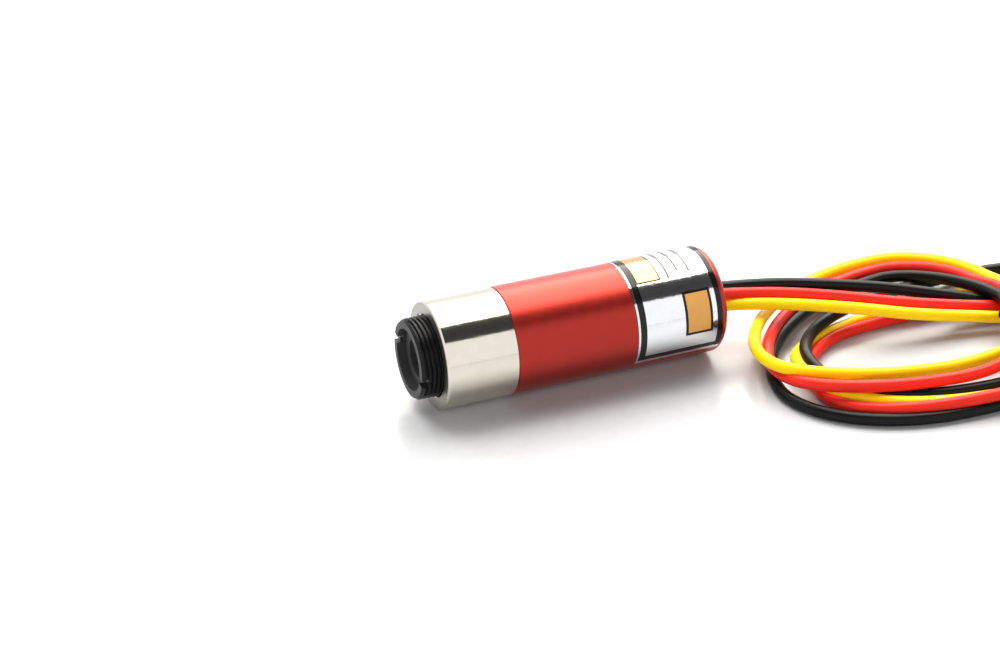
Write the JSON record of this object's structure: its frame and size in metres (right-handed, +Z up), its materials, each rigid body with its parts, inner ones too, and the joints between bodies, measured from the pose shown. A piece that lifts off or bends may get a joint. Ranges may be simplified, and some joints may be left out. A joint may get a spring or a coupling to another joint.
{
  "type": "laser diode module",
  "caption": "Cylindrical laser diode module: plated nose with a slotted, threaded focusing lens barrel, red anodised rear tube with a foil label, and coiled supply leads.",
  "frame": {"origin": "under the middle of the module, on the surface that it lies on; leads left out", "axes": "-X along the beam, +X towards the leads, +Z up"},
  "size_m": [0.0839, 0.0344, 0.0121],
  "materials": {
    "nickel_plate": "bright nickel plate",
    "red_anodise": "satin red anodise",
    "black_anodise": "black anodise",
    "label_foil": "silver foil",
    "lens_glass": "clear",
    "spring_steel": "drawn wire",
    "gold_plate": "gold plate",
    "copper": "bare copper",
    "semiconductor": "polished die",
    "brass": "turned",
    "sleeve_film": "translucent film",
    "board_laminate": "solder mask",
    "moulded_black": "moulded",
    "capacitor_ceramic": "ceramic",
    "resistor_film": "coated",
    "solder": "tinned",
    "potting": "cast epoxy",
    "black_pvc": "extruded",
    "red_pvc": "extruded",
    "yellow_pvc": "extruded",
    "coil_pvc": "extruded"
  },
  "bodies": {
    "housing": {"nose_barrel": "nickel_plate", "rear_tube": "red_anodise", "foil_label": "label_foil", "diode_window": "lens_glass", "focus_spring": "spring_steel", "diode_header": "gold_plate", "diode_can": "gold_plate", "diode_pins": "gold_plate", "diode_heatsink": "copper", "laser_chip": "semiconductor", "monitor_photodiode": "semiconductor", "diode_clamp_ring": "brass", "insulating_sleeve": "sleeve_film", "driver_board": "board_laminate", "driver_chip": "moulded_black", "pass_transistor": "moulded_black", "chip_capacitors": "capacitor_ceramic", "chip_resistors": "resistor_film", "solder_joints": "solder", "lead_conductors": "solder", "lead_tips": "solder", "rear_seal": "potting", "black_lead": "black_pvc", "red_lead": "red_pvc", "yellow_lead": "yellow_pvc", "lead_coil": "coil_pvc"},
    "lens_carrier": {"collimating_lens": "lens_glass", "lens_retainer": "black_anodise"},
    "focus_screw": {"focus_barrel": "black_anodise"}
  },
  "joints": [
    {"name": "focus_travel", "type": "slide", "parent": "housing", "child": "lens_carrier", "axis": [-1, 0, 0], "range_m": [-0.001, 0.0015], "deforming": ["focus_spring"]},
    {"name": "focus_turn", "type": "hinge", "parent": "lens_carrier", "child": "focus_screw", "pos_m": [-0.0149, 0, 0.006], "axis": [-1, 0, 0], "range_deg": [-720, 1080]}
  ],
  "couplings": [
    {"joint": "focus_turn", "follows": "focus_travel", "rad_per_m": 12566}
  ]
}
